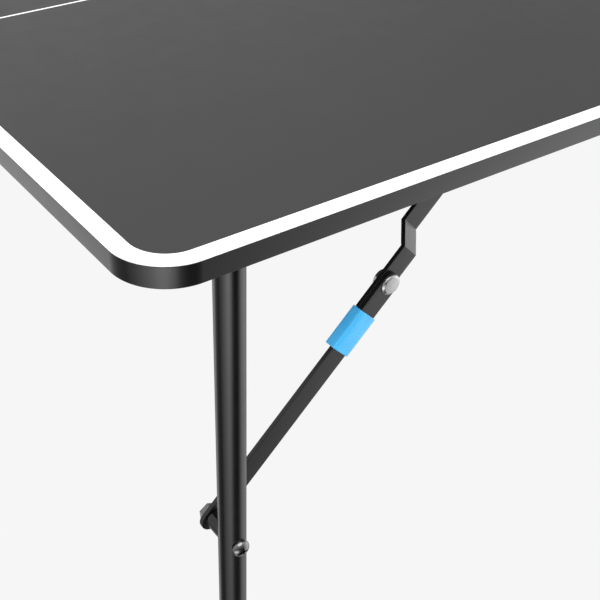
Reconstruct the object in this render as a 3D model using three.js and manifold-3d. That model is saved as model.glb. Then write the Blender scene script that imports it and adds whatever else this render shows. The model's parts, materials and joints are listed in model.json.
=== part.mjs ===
// A ping pong table in two hinged half tops, on two folding leg frames with locking braces.
// Millimetres, +Z up. The origin is on the floor under the middle of the top, and +X runs
// along the table. End a is at -X and end b at +X; the front side is at -Y, the rear at +Y.
import * as THREE from "three";
import { mergeVertices } from "three/addons/utils/BufferGeometryUtils.js";
import Module from "manifold-3d";

const wasm = await Module();
wasm.setup();

// ---- Driving dimensions ----------------------------------------------------------------

const LENGTH = 1830;
const WIDTH = 990;
const HEIGHT = 760;
const TOP_THICKNESS = 18.6;
const CORNER_RADIUS = 46;
const JOINT_GAP = 0.6; // between the two half tops
const BAND_WALL = 1.5; // steel band round the board's edge
const BORDER = 15; // width of the white line along the edges
const CENTRE_LINE = 3;
const LINE_DEPTH = 0.6; // the lines are inlaid flush with the surface

const TUBE_RADIUS = 12.5;
const TUBE_WALL = 1.5;
const FIT_GAP = 0.3; // between pieces that are fitted round one another
const LEG_X = 84.9; // leg axis in from the end edge
const LEG_Y = 29; // leg axis in from the side edge
const PIVOT_DROP = 36; // fold axis below the playing surface
const LEG_TOP = 10; // leg above the fold axis

const FOOT_RADIUS = 15;
const FOOT_HEIGHT = 34;
const FOOT_FLOOR = 5;

const BOLT_DROP = 320; // brace bolt below the playing surface
const BRACE_ANGLE = THREE.MathUtils.degToRad(44.1);
const BOLT_END = 3; // lower bar beyond the bolt, before its round end
const LOWER_REACH = 259.6; // bolt to knee
const BAR_HALF = 10.6; // half the width of a brace bar
const BAR_THICK = 4.2;
const BAR_Y = 58.5; // outer face of the lower bar, in from the side edge
const TAIL_REACH = 34.3; // upper bar's tail, from the knee back into the sleeve
const TAIL_CORNER = 3;
const JOGGLE_START = 33.5; // from the knee, up the bar
const JOGGLE_RUN = 19.3;
const JOGGLE_OFFSET = 17.2;
const KINK_REACH = 97.5; // from the knee to where the upper bar turns to its bracket
const SLEEVE_LENGTH = 41;
const SLEEVE_HALF = 12.4;
const SLEEVE_DEPTH = 14.2;
const SLEEVE_CENTRE = 206.3; // from the bolt, up the bar
const PIN_RADIUS = 4;
const BOLT_HEAD = 8.5; // radius
const SPACER_RADIUS = 8.8;
const RIVET_HEAD = 9.9; // radius of both heads
const RIVET_OUTER_THICK = 2.6;
const RIVET_INNER_THICK = 4.4;

const HINGE_Y = 300; // middle hinges, out from the table's centre line
const HINGE_DROP = 28; // hinge pin below the underside

const NET_HEIGHT = 152.5;
const NET_REACH = 545; // post axis out from the table's centre line

const ROUND_SIDES = 20; // of a tube
const PIN_SIDES = 16;
const ARC_STEPS = 8;

// ---- Places worked out from them -------------------------------------------------------

const UNDERSIDE = HEIGHT - TOP_THICKNESS;
const PIVOT_Z = HEIGHT - PIVOT_DROP;
const BOLT_Z = HEIGHT - BOLT_DROP;
const HINGE_Z = UNDERSIDE - HINGE_DROP;
const UPPER_Y = BAR_Y + BAR_THICK + FIT_GAP; // outer face of the upper bar at the knee
const TOP_BAR_Y = UPPER_Y + JOGGLE_OFFSET; // outer face of the upper bar at its bracket

// A point on the brace line in the XZ plane, s along it from the bolt.
const onBrace = (s) =>
  new THREE.Vector2(LEG_X + s * Math.cos(BRACE_ANGLE), BOLT_Z + s * Math.sin(BRACE_ANGLE));

const BOLT = onBrace(0);
const KNEE = onBrace(LOWER_REACH);
const KINK = onBrace(LOWER_REACH + KINK_REACH);

// With the leg folded flat, bolt, knee and brace pivot lie in line at the pivot height.
const FOLDED_KNEE_X = LEG_X + BOLT_DROP - PIVOT_DROP + LOWER_REACH;
const kneeDrop = PIVOT_Z - KNEE.y;
const BRACE_PIVOT = new THREE.Vector2(
  (FOLDED_KNEE_X ** 2 - KNEE.x ** 2 - kneeDrop ** 2) / (2 * (FOLDED_KNEE_X - KNEE.x)),
  PIVOT_Z,
);

// ---- Materials -------------------------------------------------------------------------

const finish = (color, roughness, metalness) => ({ color, roughness, metalness });
const CHARCOAL = finish(0x58595c, 0.5, 0);
const WHITE = finish(0xf4f4f2, 0.5, 0);
const BLACK_STEEL = finish(0x2a2a2c, 0.4, 0.3);
const BLACK_PLASTIC = finish(0x1b1b1d, 0.6, 0);
const BLUE_PLASTIC = finish(0x4fb9f2, 0.4, 0);
const ZINC = finish(0xb9bbbd, 0.35, 0.9);
const NET_CLOTH = finish(0x202226, 0.9, 0);

// ---- Solids ----------------------------------------------------------------------------

function solid(geometry) {
  const bare = geometry.clone();
  bare.deleteAttribute("normal");
  bare.deleteAttribute("uv");
  const merged = mergeVertices(bare, 1e-4);
  return new wasm.Manifold(
    new wasm.Mesh({
      numProp: 3,
      vertProperties: merged.attributes.position.array,
      triVerts: new Uint32Array(merged.index.array),
    }),
  );
}

function geometryOf(manifold) {
  const mesh = manifold.getMesh();
  const geometry = new THREE.BufferGeometry();
  geometry.setAttribute("position", new THREE.BufferAttribute(mesh.vertProperties, 3));
  geometry.setIndex(new THREE.BufferAttribute(mesh.triVerts, 1));
  const faceted = geometry.toNonIndexed();
  faceted.computeVertexNormals();
  return faceted;
}

function extrude(shape, depth, curveSegments = ARC_STEPS) {
  return new THREE.ExtrudeGeometry(shape, { depth, bevelEnabled: false, curveSegments });
}

// A plan shape in XY, from z = low to z = high.
const slab = (shape, low, high) => solid(extrude(shape, high - low).translate(0, 0, low));

// A side shape in XZ, from y = low to y = high.
const plate = (shape, low, high) =>
  solid(extrude(shape, high - low).rotateX(Math.PI / 2).translate(0, high, 0));

// An end shape in YZ, from x = low to x = high.
function channel(shape, low, high) {
  const turn = new THREE.Matrix4().makeBasis(
    new THREE.Vector3(0, 1, 0),
    new THREE.Vector3(0, 0, 1),
    new THREE.Vector3(1, 0, 0),
  );
  return solid(extrude(shape, high - low).applyMatrix4(turn).translate(low, 0, 0));
}

function block(lowX, highX, lowY, highY, lowZ, highZ) {
  const box = new THREE.BoxGeometry(highX - lowX, highY - lowY, highZ - lowZ);
  return solid(box.translate((lowX + highX) / 2, (lowY + highY) / 2, (lowZ + highZ) / 2));
}

// A round bar along Y through (x, z).
function rodY(radius, x, z, low, high, sides = ROUND_SIDES) {
  const rod = new THREE.CylinderGeometry(radius, radius, high - low, sides);
  return solid(rod.translate(x, (low + high) / 2, z));
}

// A round bar along Z through (x, y).
function rodZ(radius, x, y, low, high, sides = ROUND_SIDES) {
  const rod = new THREE.CylinderGeometry(radius, radius, high - low, sides);
  return solid(rod.rotateX(Math.PI / 2).translate(x, y, (low + high) / 2));
}

// A profile of [radius, y] turned about the Y direction through (x, z).
function turnedY(profile, x, z, sides = ROUND_SIDES) {
  const points = profile.map(([radius, y]) => new THREE.Vector2(radius, y));
  return new THREE.LatheGeometry(points, sides).translate(x, 0, z);
}

// A straight flat bar with round ends, from one point to another.
function link(from, to, half) {
  const angle = Math.atan2(to.y - from.y, to.x - from.x);
  const shape = new THREE.Shape();
  shape.absarc(from.x, from.y, half, angle + Math.PI / 2, angle + 1.5 * Math.PI, false);
  shape.absarc(to.x, to.y, half, angle - Math.PI / 2, angle + Math.PI / 2, false);
  return shape;
}

// The same, but squared off at its first point, with small corners.
function squaredLink(from, to, half, corner) {
  const shape = new THREE.Shape();
  shape.absarc(corner, corner - half, corner, Math.PI, 1.5 * Math.PI, false);
  shape.absarc(from.distanceTo(to), 0, half, -Math.PI / 2, Math.PI / 2, false);
  shape.absarc(corner, half - corner, corner, Math.PI / 2, Math.PI, false);
  const angle = Math.atan2(to.y - from.y, to.x - from.x);
  const origin = new THREE.Vector2();
  const points = shape.getPoints(ARC_STEPS).map((point) => point.rotateAround(origin, angle).add(from));
  return new THREE.Shape(points);
}

function roundedRectangle(halfWidth, halfHeight, radius) {
  const shape = new THREE.Shape();
  shape.absarc(halfWidth - radius, halfHeight - radius, radius, 0, Math.PI / 2, false);
  shape.absarc(radius - halfWidth, halfHeight - radius, radius, Math.PI / 2, Math.PI, false);
  shape.absarc(radius - halfWidth, radius - halfHeight, radius, Math.PI, 1.5 * Math.PI, false);
  shape.absarc(halfWidth - radius, radius - halfHeight, radius, 1.5 * Math.PI, 2 * Math.PI, false);
  return shape;
}

const polygon = (points) => new THREE.Shape(points.map(([x, y]) => new THREE.Vector2(x, y)));

// ---- The object ------------------------------------------------------------------------

const table = new THREE.Group();

function add(parent, name, shape, look) {
  const geometry = shape.isBufferGeometry ? shape : geometryOf(shape);
  const mesh = new THREE.Mesh(geometry, new THREE.MeshStandardMaterial(look));
  mesh.name = name;
  parent.add(mesh);
}

// ---- Half tops -------------------------------------------------------------------------

// The plan outline of the half top at end a, set in from its three outer edges.
function halfOutline(inset, overrun = 0) {
  const radius = CORNER_RADIUS - inset;
  const centreX = CORNER_RADIUS - LENGTH / 2;
  const centreY = WIDTH / 2 - CORNER_RADIUS;
  const joint = overrun - JOINT_GAP / 2;
  const shape = new THREE.Shape();
  shape.moveTo(joint, inset - WIDTH / 2);
  shape.lineTo(joint, WIDTH / 2 - inset);
  shape.absarc(centreX, centreY, radius, Math.PI / 2, Math.PI, false);
  shape.absarc(centreX, -centreY, radius, Math.PI, 1.5 * Math.PI, false);
  return shape;
}

function markings(low, high) {
  const field = slab(halfOutline(BORDER, 1), low - 1, high + 1);
  const border = slab(halfOutline(0), low, high).subtract(field);
  const startX = BORDER / 2 - LENGTH / 2;
  const centre = block(startX, -JOINT_GAP / 2, -CENTRE_LINE / 2, CENTRE_LINE / 2, low, high);
  return border.add(centre);
}

const lineBottom = HEIGHT - LINE_DEPTH;
const board = slab(halfOutline(BAND_WALL), UNDERSIDE, HEIGHT).subtract(
  markings(lineBottom, HEIGHT + 1),
);
const band = slab(halfOutline(0), UNDERSIDE, lineBottom).subtract(
  slab(halfOutline(BAND_WALL, 1), UNDERSIDE - 1, HEIGHT),
);
const lines = markings(lineBottom, HEIGHT);

for (const [end, direction] of [["a", 1], ["b", -1]]) {
  const half = new THREE.Group();
  half.scale.set(direction, 1, 1);
  table.add(half);
  add(half, `board_${end}`, board, CHARCOAL);
  add(half, `edge_band_${end}`, band, BLACK_STEEL);
  add(half, `line_marking_${end}`, lines, WHITE);
}

// ---- Middle hinges: a clevis under half a, a tongue under half b -----------------------

const leafThick = 3;
const leafNear = 4; // from the joint
const leafFar = 64;
const leafHalf = 22;
const earRoot = 40;
const earRadius = 9;
const tongueHalf = 4;
const clevisInner = 4.6;
const clevisOuter = 8.6;

function hingeEar(side) {
  const shape = new THREE.Shape();
  shape.moveTo(side * earRoot, UNDERSIDE - leafThick / 2);
  shape.lineTo(side * leafNear, UNDERSIDE - leafThick / 2);
  shape.lineTo(-side * earRadius, HINGE_Z);
  const start = side > 0 ? Math.PI : 0;
  shape.absarc(0, HINGE_Z, earRadius, start, start + side * Math.PI, side < 0);
  shape.closePath();
  return shape;
}

function hingeLeaf(side, ears) {
  const lowX = side > 0 ? leafNear : -leafFar;
  const highX = side > 0 ? leafFar : -leafNear;
  const base = UNDERSIDE - leafThick;
  let leaf = block(lowX, highX, -leafHalf, leafHalf, base, UNDERSIDE);
  for (const [low, high] of ears) leaf = leaf.add(plate(hingeEar(side), low, high));
  return leaf.subtract(rodY(PIN_RADIUS + FIT_GAP, 0, HINGE_Z, -leafHalf, leafHalf, PIN_SIDES));
}

const clevis = hingeLeaf(-1, [[-clevisOuter, -clevisInner], [clevisInner, clevisOuter]]);
const tongue = hingeLeaf(1, [[-tongueHalf, tongueHalf]]);
const pinHead = 6.5;
const pinEnd = clevisOuter + 3;
const hingePin = turnedY(
  [
    [0, -pinEnd],
    [pinHead, -pinEnd],
    [pinHead, -clevisOuter],
    [PIN_RADIUS, -clevisOuter],
    [PIN_RADIUS, clevisOuter],
    [pinHead, clevisOuter],
    [pinHead, pinEnd],
    [0, pinEnd],
  ],
  0,
  HINGE_Z,
  PIN_SIDES,
);

for (const [side, y] of [["front", -HINGE_Y], ["rear", HINGE_Y]]) {
  const hinge = new THREE.Group();
  hinge.position.y = y;
  table.add(hinge);
  add(hinge, `hinge_clevis_${side}`, clevis, BLACK_STEEL);
  add(hinge, `hinge_tongue_${side}`, tongue, BLACK_STEEL);
  add(hinge, `hinge_pin_${side}`, hingePin, ZINC);
}

// ---- Leg frames: shared tubes, symmetric in Y ------------------------------------------

const frameHalf = WIDTH / 2 - LEG_Y; // leg axis out from the table's centre line

// A cross tube between the two legs, hollowed to fit round them.
function crossTube(z) {
  let tube = rodY(TUBE_RADIUS, LEG_X, z, -frameHalf, frameHalf);
  for (const y of [-frameHalf, frameHalf]) {
    const reach = 2 * TUBE_RADIUS;
    tube = tube.subtract(rodZ(TUBE_RADIUS + FIT_GAP, LEG_X, y, z - reach, z + reach));
  }
  return tube.subtract(rodY(TUBE_RADIUS - TUBE_WALL, LEG_X, z, -frameHalf, frameHalf));
}

// ---- Corner pieces: x in from the end edge, y in from the side edge --------------------

function legTube() {
  const outside = rodZ(TUBE_RADIUS, LEG_X, LEG_Y, FOOT_FLOOR, PIVOT_Z + LEG_TOP);
  const bore = rodZ(TUBE_RADIUS - TUBE_WALL, LEG_X, LEG_Y, 0, HEIGHT);
  const hole = rodY(PIN_RADIUS + FIT_GAP, LEG_X, BOLT_Z, 0, 2 * LEG_Y, PIN_SIDES);
  return outside.subtract(bore).subtract(hole);
}

function foot() {
  const inner = TUBE_RADIUS + FIT_GAP;
  const edge = 2;
  const points = [
    [0, 0],
    [FOOT_RADIUS - edge, 0],
    [FOOT_RADIUS, edge],
    [FOOT_RADIUS, FOOT_HEIGHT - edge],
    [FOOT_RADIUS - 1, FOOT_HEIGHT],
    [inner, FOOT_HEIGHT],
    [inner, FOOT_FLOOR],
    [0, FOOT_FLOOR],
  ].map(([radius, z]) => new THREE.Vector2(radius, z));
  return new THREE.LatheGeometry(points, ROUND_SIDES).rotateX(Math.PI / 2).translate(LEG_X, LEG_Y, 0);
}

// A strap that holds the pivot tube up against the board.
function saddle() {
  const thick = 2;
  const inner = TUBE_RADIUS + 0.8;
  const outer = inner + thick;
  const reach = 34;
  const near = LEG_Y + 21;
  const far = near + 40;
  const shape = new THREE.Shape();
  shape.moveTo(LEG_X - reach, UNDERSIDE);
  shape.lineTo(LEG_X - reach, UNDERSIDE - thick);
  shape.lineTo(LEG_X - outer, UNDERSIDE - thick);
  shape.absarc(LEG_X, PIVOT_Z, outer, Math.PI, 2 * Math.PI, false);
  shape.lineTo(LEG_X + outer, UNDERSIDE - thick);
  shape.lineTo(LEG_X + reach, UNDERSIDE - thick);
  shape.lineTo(LEG_X + reach, UNDERSIDE);
  shape.lineTo(LEG_X + inner, UNDERSIDE);
  shape.absarc(LEG_X, PIVOT_Z, inner, 0, Math.PI, true);
  shape.lineTo(LEG_X - inner, UNDERSIDE);
  return plate(shape, near, far);
}

const legFace = LEG_Y + TUBE_RADIUS; // the leg's inner face
const barFace = BAR_Y - FIT_GAP;
const legClearance = () => rodZ(TUBE_RADIUS + FIT_GAP, LEG_X, LEG_Y, BOLT_Z - 20, BOLT_Z + 20);

function boltSpacer() {
  const start = legFace - TUBE_RADIUS / 2;
  const body = rodY(SPACER_RADIUS, LEG_X, BOLT_Z, start, barFace);
  const bore = rodY(PIN_RADIUS + FIT_GAP, LEG_X, BOLT_Z, start - 1, barFace + 1, PIN_SIDES);
  return body.subtract(legClearance()).subtract(bore);
}

// A domed head outside the leg, and a shank through the leg and the spacer.
function braceBolt() {
  const rim = LEG_Y - TUBE_RADIUS - 0.6;
  const dome = 5.4;
  const seat = LEG_Y - TUBE_RADIUS / 2;
  const steps = 5;
  const profile = [];
  for (let i = 0; i <= steps; i += 1) {
    const angle = (i / steps) * (Math.PI / 2);
    profile.push([BOLT_HEAD * Math.sin(angle), rim - dome * Math.cos(angle)]);
  }
  profile.push([BOLT_HEAD, seat], [0, seat]);
  const head = solid(turnedY(profile, LEG_X, BOLT_Z)).subtract(legClearance());
  return head.add(rodY(PIN_RADIUS, LEG_X, BOLT_Z, rim, barFace, PIN_SIDES));
}

// A bracket under the board with two ears and the pin that the upper bar turns on.
function braceBracket() {
  const thick = 2.5;
  const gap = 0.6;
  const inner = TOP_BAR_Y - gap;
  const outer = TOP_BAR_Y + BAR_THICK + gap;
  const drop = 11;
  const earHalf = 13;
  const flange = 34;
  const overhang = 3;
  const section = polygon([
    [inner - thick, UNDERSIDE - thick / 2],
    [inner - thick, PIVOT_Z - drop],
    [inner, PIVOT_Z - drop],
    [inner, UNDERSIDE - thick],
    [outer, UNDERSIDE - thick],
    [outer, PIVOT_Z - drop],
    [outer + thick, PIVOT_Z - drop],
    [outer + thick, UNDERSIDE - thick / 2],
  ]);
  const { x } = BRACE_PIVOT;
  const near = inner - thick - overhang;
  const far = outer + thick + overhang;
  const base = block(x - flange, x + flange, near, far, UNDERSIDE - thick, UNDERSIDE);
  const pin = rodY(PIN_RADIUS, x, PIVOT_Z, inner - 2 * thick, outer + 2 * thick, PIN_SIDES);
  return base.add(channel(section, x - earHalf, x + earHalf)).add(pin);
}

function lowerBar() {
  const bar = plate(link(onBrace(-BOLT_END), KNEE, BAR_HALF), BAR_Y, BAR_Y + BAR_THICK);
  return bar.subtract(rodY(PIN_RADIUS + FIT_GAP, KNEE.x, KNEE.y, 0, WIDTH / 2, PIN_SIDES));
}

// The side view of a strap along its centre line, with each bend rounded.
function strapSection(centreLine, thick, bendRadius) {
  const rounded = [centreLine[0]];
  for (let i = 1; i < centreLine.length - 1; i += 1) {
    const [before, corner, after] = centreLine.slice(i - 1, i + 2);
    const back = before.clone().sub(corner).normalize();
    const ahead = after.clone().sub(corner).normalize();
    const trim = bendRadius / Math.tan(Math.acos(back.dot(ahead)) / 2);
    const bend = new THREE.QuadraticBezierCurve(
      corner.clone().addScaledVector(back, trim),
      corner,
      corner.clone().addScaledVector(ahead, trim),
    );
    rounded.push(...bend.getPoints(4));
  }
  rounded.push(centreLine[centreLine.length - 1]);
  const left = [];
  const right = [];
  rounded.forEach((point, i) => {
    const before = rounded[Math.max(i - 1, 0)];
    const after = rounded[Math.min(i + 1, rounded.length - 1)];
    const along = after.clone().sub(before).normalize();
    const side = new THREE.Vector2(-along.y, along.x).multiplyScalar(thick / 2);
    left.push(point.clone().add(side));
    right.unshift(point.clone().sub(side));
  });
  return new THREE.Shape([...right, ...left]);
}

// The upper bar: its tail passes the knee, then it joggles inwards and turns to its bracket.
function upperBar() {
  const centre = UPPER_Y + BAR_THICK / 2;
  const joggleStart = LOWER_REACH + JOGGLE_START;
  const beyondKink = LOWER_REACH + KINK_REACH + 2 * BAR_HALF;
  const centreLine = [
    new THREE.Vector2(LOWER_REACH - 2 * TAIL_REACH, centre),
    new THREE.Vector2(joggleStart, centre),
    new THREE.Vector2(joggleStart + JOGGLE_RUN, centre + JOGGLE_OFFSET),
    new THREE.Vector2(beyondKink, centre + JOGGLE_OFFSET),
  ];
  const along = new THREE.Vector3(Math.cos(BRACE_ANGLE), 0, Math.sin(BRACE_ANGLE));
  const across = new THREE.Vector3(0, 1, 0);
  const turn = new THREE.Matrix4().makeBasis(along, across, along.clone().cross(across));
  turn.setPosition(BOLT.x, 0, BOLT.y);
  const width = 4 * BAR_HALF;
  const section = strapSection(centreLine, BAR_THICK, 4);
  const sheet = solid(extrude(section, width).translate(0, 0, -width / 2).applyMatrix4(turn));
  const tail = onBrace(LOWER_REACH - TAIL_REACH);
  const shape = squaredLink(tail, KINK, BAR_HALF, TAIL_CORNER);
  const outline = plate(shape, BAR_Y, TOP_BAR_Y + 2 * BAR_THICK);
  const arm = plate(link(KINK, BRACE_PIVOT, BAR_HALF), TOP_BAR_Y, TOP_BAR_Y + BAR_THICK);
  let bar = sheet.intersect(outline).add(arm);
  for (const hole of [KNEE, BRACE_PIVOT]) {
    bar = bar.subtract(rodY(PIN_RADIUS + FIT_GAP, hole.x, hole.y, 0, WIDTH / 2, PIN_SIDES));
  }
  return bar;
}

// The locking sleeve: a rounded box section round both bars.
function lockSleeve() {
  const clearance = 0.5;
  const barsDepth = 2 * BAR_THICK + FIT_GAP;
  const wallX = 1.4;
  const shape = roundedRectangle(SLEEVE_HALF, SLEEVE_DEPTH / 2, 3);
  const hole = roundedRectangle(SLEEVE_HALF - wallX, barsDepth / 2 + clearance, 1);
  shape.holes.push(new THREE.Path(hole.getPoints(4)));
  const along = new THREE.Vector3(Math.cos(BRACE_ANGLE), 0, Math.sin(BRACE_ANGLE));
  const across = new THREE.Vector3(0, 1, 0);
  const up = along.clone().cross(across);
  const turn = new THREE.Matrix4().makeBasis(up, across, up.clone().cross(across));
  const top = onBrace(SLEEVE_CENTRE + SLEEVE_LENGTH / 2);
  turn.setPosition(top.x, BAR_Y + barsDepth / 2, top.y);
  return extrude(shape, SLEEVE_LENGTH, 4).applyMatrix4(turn);
}

function kneeRivet() {
  const chamfer = 1.6;
  const outerFace = BAR_Y - RIVET_OUTER_THICK;
  const innerSeat = UPPER_Y + BAR_THICK + FIT_GAP;
  const innerFace = innerSeat + RIVET_INNER_THICK;
  const profile = [
    [0, outerFace],
    [RIVET_HEAD - chamfer, outerFace],
    [RIVET_HEAD, outerFace + chamfer],
    [RIVET_HEAD, BAR_Y],
    [PIN_RADIUS, BAR_Y],
    [PIN_RADIUS, innerSeat],
    [RIVET_HEAD, innerSeat],
    [RIVET_HEAD, innerFace - chamfer],
    [RIVET_HEAD - chamfer, innerFace],
    [0, innerFace],
  ];
  return turnedY(profile, KNEE.x, KNEE.y);
}

const pivotTube = crossTube(PIVOT_Z);
const cornerPieces = [
  ["leg", legTube(), BLACK_STEEL],
  ["foot", foot(), BLACK_PLASTIC],
  ["saddle", saddle(), BLACK_STEEL],
  ["brace_bolt", braceBolt(), ZINC],
  ["bolt_spacer", boltSpacer(), BLACK_STEEL],
  ["brace_bracket", braceBracket(), BLACK_STEEL],
  ["lower_bar", lowerBar(), BLACK_STEEL],
  ["upper_bar", upperBar(), BLACK_STEEL],
  ["lock_sleeve", lockSleeve(), BLUE_PLASTIC],
  ["knee_rivet", kneeRivet(), ZINC],
];

for (const [end, outwardX] of [["a", -1], ["b", 1]]) {
  const frame = new THREE.Group();
  frame.position.x = (outwardX * LENGTH) / 2;
  frame.scale.set(-outwardX, 1, 1);
  table.add(frame);
  add(frame, `pivot_tube_${end}`, pivotTube, BLACK_STEEL);
  for (const [side, outwardY] of [["front", -1], ["rear", 1]]) {
    const corner = new THREE.Group();
    corner.position.y = (outwardY * WIDTH) / 2;
    corner.scale.set(1, -outwardY, 1);
    frame.add(corner);
    for (const [name, shape, look] of cornerPieces) {
      add(corner, `${name}_${end}_${side}`, shape, look);
    }
  }
}

// ---- Net set, clamped to half a beside the joint ---------------------------------------

const jawThick = 3;
const jawGap = 0.4;
const jawReach = 36;
const jawNear = 2; // from the joint
const jawWidth = 34;
const clampDrop = 30;
const postRadius = 6;
const netThick = 2;
const netLow = HEIGHT + 6;
const netHigh = HEIGHT + NET_HEIGHT;
const tapeHeight = 14;

// A clamp round the edge of the top, with an arm out to the post that holds the net.
function netPost() {
  const edge = WIDTH / 2;
  const web = edge + jawGap;
  const section = polygon([
    [edge - jawReach, HEIGHT + jawGap],
    [web, HEIGHT + jawGap],
    [web, UNDERSIDE - clampDrop],
    [edge - jawReach, UNDERSIDE - clampDrop],
    [edge - jawReach, UNDERSIDE - clampDrop - jawThick],
    [web + jawThick, UNDERSIDE - clampDrop - jawThick],
    [web + jawThick, HEIGHT + jawGap + jawThick],
    [edge - jawReach, HEIGHT + jawGap + jawThick],
  ]);
  const clamp = channel(section, -jawNear - jawWidth, -jawNear);
  const armLow = HEIGHT - 12;
  const armHigh = HEIGHT - 4;
  const arm = block(-jawNear - jawWidth, postRadius, web + 1, NET_REACH, armLow, armHigh);
  const post = rodZ(postRadius, 0, NET_REACH, armLow - 4, netHigh + 4, PIN_SIDES);
  return clamp.add(arm).add(post);
}

const post = netPost();
for (const [side, direction] of [["front", -1], ["rear", 1]]) {
  const support = new THREE.Group();
  support.scale.set(1, direction, 1);
  table.add(support);
  add(support, `net_post_${side}`, post, BLACK_PLASTIC);
}
const netHalf = NET_REACH - postRadius - 1;
const tapeLow = netHigh - tapeHeight;
add(
  table,
  "net",
  block(-netThick / 2, netThick / 2, -netHalf, netHalf, netLow, tapeLow),
  NET_CLOTH,
);
add(
  table,
  "net_tape",
  block(-netThick, netThick, -netHalf, netHalf, tapeLow, netHigh),
  WHITE,
);

export default table;
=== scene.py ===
"""The looks of a folding ping pong table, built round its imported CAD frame. Metres, +Z up."""

import json
import math

import bmesh
import bpy
from mathutils import Matrix, Vector


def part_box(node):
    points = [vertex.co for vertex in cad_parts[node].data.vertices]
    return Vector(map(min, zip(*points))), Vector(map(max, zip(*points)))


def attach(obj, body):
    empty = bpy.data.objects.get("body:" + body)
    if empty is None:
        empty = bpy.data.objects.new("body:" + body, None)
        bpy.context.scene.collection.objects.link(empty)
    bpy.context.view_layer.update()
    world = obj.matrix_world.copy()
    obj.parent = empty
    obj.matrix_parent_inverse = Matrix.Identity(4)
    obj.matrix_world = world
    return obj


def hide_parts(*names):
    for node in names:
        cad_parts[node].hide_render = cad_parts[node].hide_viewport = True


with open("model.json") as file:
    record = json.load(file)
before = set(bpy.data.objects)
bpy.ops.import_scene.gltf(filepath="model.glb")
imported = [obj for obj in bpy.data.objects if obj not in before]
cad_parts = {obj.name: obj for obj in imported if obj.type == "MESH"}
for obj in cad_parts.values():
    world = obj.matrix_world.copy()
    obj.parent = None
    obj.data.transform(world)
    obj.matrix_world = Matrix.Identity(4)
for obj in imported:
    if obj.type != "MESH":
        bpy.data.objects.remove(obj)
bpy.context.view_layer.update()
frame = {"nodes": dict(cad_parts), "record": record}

MM = 0.001

# ---- Sizes and places, from the frame ------------------------------------------------------


def centre(node):
    low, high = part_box(node)
    return (Vector(low) + Vector(high)) / 2


def joint_place(name):
    joint = next(j for j in frame["record"]["behaviour"]["joints"] if j["name"] == name)
    return Vector(joint["pos_m"])


TOP_LOW = Vector(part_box("edge_band_a")[0])
HALF_LENGTH = -TOP_LOW.x
HALF_WIDTH = -TOP_LOW.y
UNDERSIDE = TOP_LOW.z
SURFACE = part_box("board_a")[1][2]
BAND_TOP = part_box("edge_band_a")[1][2]
JOINT_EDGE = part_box("board_a")[1][0]

# The corner frame: x in from the end edge, y in from the side edge, z up from the floor.
LEG = centre("leg_a_front") - TOP_LOW
TUBE_RADIUS = (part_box("leg_a_front")[1][0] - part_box("leg_a_front")[0][0]) / 2
LEG_BOTTOM, LEG_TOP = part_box("leg_a_front")[0][2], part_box("leg_a_front")[1][2]
PIVOT_Z = joint_place("leg_fold_a").z
BOLT = centre("brace_bolt_a_front") - TOP_LOW
KNEE = centre("knee_rivet_a_front") - TOP_LOW
BRACE_PIVOT = joint_place("brace_swing_a_front") - TOP_LOW
for place in (BOLT, KNEE, BRACE_PIVOT):
    place.z += TOP_LOW.z  # back to a height above the floor
BOLT_XZ, KNEE_XZ, PIVOT_XZ = (Vector((p.x, p.z)) for p in (BOLT, KNEE, BRACE_PIVOT))
BRACE_ALONG = (KNEE_XZ - BOLT_XZ).normalized()
BRACE_UP = Vector((-BRACE_ALONG.y, BRACE_ALONG.x))
LOWER_REACH = (KNEE_XZ - BOLT_XZ).length
BAR_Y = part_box("lower_bar_a_front")[0][1] - TOP_LOW.y
BAR_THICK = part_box("lower_bar_a_front")[1][1] - TOP_LOW.y - BAR_Y
UPPER_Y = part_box("upper_bar_a_front")[0][1] - TOP_LOW.y
TOP_BAR_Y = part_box("upper_bar_a_front")[1][1] - TOP_LOW.y - BAR_THICK
HINGE_Z = joint_place("mid_fold").z
HINGE_Y = centre("hinge_pin_rear").y
POST_RADIUS = 6 * MM
NET_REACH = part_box("net_post_rear")[1][1] - POST_RADIUS

# ---- Sizes that the frame's boxes don't give -----------------------------------------------

CORNER_RADIUS = 46 * MM
BAND_WALL = 1.5 * MM
TUBE_WALL = 1.5 * MM
PLATE_EDGE = 0.4 * MM  # how far the edges of most plates are rounded
FINE_SIDES, PIN_SIDES = 64, 32  # round sides of the tubes and the rivets, and of the pins
BAR_HALF = 10.6 * MM
PIN_RADIUS = 4 * MM
FIT_GAP = 0.3 * MM
BOLT_END = 3 * MM
BOLT_HEAD = 8.5 * MM
NUT_FLATS = 17 * MM
NUT_HEIGHT = 6.3 * MM
NUT_TURN = -35  # how far round its bolt each nut came to rest, in degrees
SPACER_RADIUS = 8.8 * MM
RIVET_HEAD = 9.9 * MM
PIN_HEAD = 6.5 * MM
TAIL_REACH = 34.3 * MM
TAIL_CORNER = 3 * MM
KINK_REACH = 97.5 * MM
JOGGLE_START = 33.5 * MM
JOGGLE_RUN = 19.3 * MM
JOGGLE_BEND = 0.9 * MM
SLEEVE_HALF = 12.4 * MM
SLEEVE_DEPTH = 14.2 * MM
SLEEVE_LENGTH = 41 * MM
SLEEVE_CENTRE = 206.3 * MM
SLEEVE_WALL = 1.4 * MM
SLEEVE_SQUARENESS = 5
SLEEVE_PLAY = 0.5 * MM
SLEEVE_BORE_CORNER = 1.2 * MM

ENDS = (("a", -1), ("b", 1))
SIDES = (("front", -1), ("rear", 1))


def on_brace(distance):
    """The point of the brace line, in (x, z), that far up it from the bolt."""
    return BOLT_XZ + BRACE_ALONG * distance


# ---- Mesh tools ----------------------------------------------------------------------------


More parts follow.
